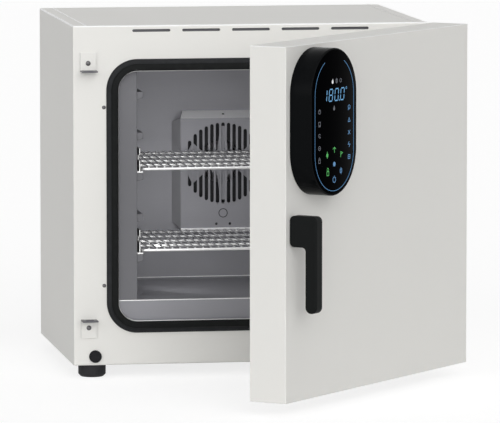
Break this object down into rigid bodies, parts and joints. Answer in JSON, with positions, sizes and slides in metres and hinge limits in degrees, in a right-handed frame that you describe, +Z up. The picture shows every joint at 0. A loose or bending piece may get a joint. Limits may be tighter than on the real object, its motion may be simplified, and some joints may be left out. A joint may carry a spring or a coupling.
{
  "type": "drying cabinet",
  "caption": "Bench laboratory drying oven with a side-hung door standing open, a control pod and lever handle on the door, wire shelves and a fan cover inside.",
  "frame": {"origin": "centre of the base pan's underside, midway between the sides and between the front and the back of the casing", "axes": "+X to the right seen from the front, +Y towards the back, +Z up; the front faces -Y"},
  "size_m": [0.7215, 1.1075, 0.649],
  "materials": {
    "white_coat": "fine satin powder coat",
    "stainless": "satin stainless sheet",
    "bright_wire": "bright electropolished",
    "heater_steel": "dark heat-stained sheath",
    "zinc_steel": "zinc plated",
    "heatsink_aluminium": "matt",
    "motor_grey": "matt enamel",
    "black_rubber": "matt silicone",
    "black_plastic": "satin",
    "black_gloss": "high gloss",
    "display_glass": "black backed glass",
    "circuit_board": "solder resist",
    "glass_wool": "loose fibre"
  },
  "bodies": {
    "cabinet": {"base_pan": "white_coat", "left_side_panel": "white_coat", "right_side_panel": "white_coat", "top_cover": "white_coat", "rear_cover": "white_coat", "front_frame": "white_coat", "front_left_foot": "black_rubber", "front_right_foot": "black_rubber", "rear_left_foot": "black_rubber", "rear_right_foot": "black_rubber", "insulation_wrap": "glass_wool", "insulation_rear": "glass_wool", "door_gasket": "black_rubber", "chamber_liner": "stainless", "left_air_duct": "stainless", "right_air_duct": "stainless", "floor_plate": "stainless", "rear_baffle": "stainless", "fan_cover": "stainless", "fan_motor": "motor_grey", "heating_element": "heater_steel", "temperature_probe": "bright_wire", "limit_probe": "bright_wire", "exhaust_pipe": "stainless", "mains_inlet": "black_plastic", "electronics_tray": "zinc_steel", "power_board": "circuit_board", "relay_heatsink": "heatsink_aluminium", "upper_left_rail": "bright_wire", "upper_right_rail": "bright_wire", "lower_left_rail": "bright_wire", "lower_right_rail": "bright_wire", "upper_strike": "white_coat", "lower_strike": "white_coat", "upper_strike_screw": "zinc_steel", "lower_strike_screw": "zinc_steel", "door_stop": "black_rubber", "upper_hinge_bracket": "white_coat", "upper_hinge_pin": "zinc_steel", "lower_hinge_bracket": "white_coat", "lower_hinge_pin": "zinc_steel"},
    "door": {"upper_hinge_leaf": "white_coat", "lower_hinge_leaf": "white_coat", "door_shell": "white_coat", "door_inner_panel": "white_coat", "door_insulation": "glass_wool", "control_housing": "black_gloss", "control_glass": "display_glass", "display_board": "circuit_board"},
    "handle": {"handle": "black_plastic", "handle_spindle": "zinc_steel", "latch_pinion": "zinc_steel"},
    "upper_bolt": {"upper_bolt_rod": "zinc_steel"},
    "lower_bolt": {"lower_bolt_rod": "zinc_steel"},
    "fan": {"fan_impeller": "stainless", "fan_shaft": "zinc_steel"},
    "upper_shelf": {"upper_shelf": "bright_wire"},
    "lower_shelf": {"lower_shelf": "bright_wire"},
    "exhaust_flap": {"exhaust_flap": "stainless", "flap_knob": "black_plastic"}
  },
  "joints": [
    {"name": "door_hinge", "type": "hinge", "parent": "cabinet", "child": "door", "pos_m": [0.338, -0.249, 0.3125], "axis": [0, 0, 1], "range_deg": [-50, 60]},
    {"name": "handle_turn", "type": "hinge", "parent": "door", "child": "handle", "pos_m": [-0.01764, -0.79387, 0.3025], "axis": [0.766, -0.6428, 0], "range_deg": [0, 90]},
    {"name": "upper_bolt_slide", "type": "slide", "parent": "door", "child": "upper_bolt", "axis": [0, 0, 1], "range_m": [0, 0.01571]},
    {"name": "lower_bolt_slide", "type": "slide", "parent": "door", "child": "lower_bolt", "axis": [0, 0, -1], "range_m": [0, 0.01571]},
    {"name": "upper_shelf_slide", "type": "slide", "parent": "cabinet", "child": "upper_shelf", "axis": [0, -1, 0], "range_m": [0, 0.15]},
    {"name": "lower_shelf_slide", "type": "slide", "parent": "cabinet", "child": "lower_shelf", "axis": [0, -1, 0], "range_m": [0, 0.15]},
    {"name": "fan_spin", "type": "hinge", "parent": "cabinet", "child": "fan", "pos_m": [0, 0.1, 0.3378], "axis": [0, -1, 0], "continuous": true},
    {"name": "exhaust_flap_turn", "type": "hinge", "parent": "cabinet", "child": "exhaust_flap", "pos_m": [-0.15, 0.257, 0.4782], "axis": [0, 0, 1], "range_deg": [0, 90]}
  ],
  "couplings": [
    {"joint": "upper_bolt_slide", "follows": "handle_turn", "m_per_rad": 0.01},
    {"joint": "lower_bolt_slide", "follows": "handle_turn", "m_per_rad": 0.01}
  ]
}
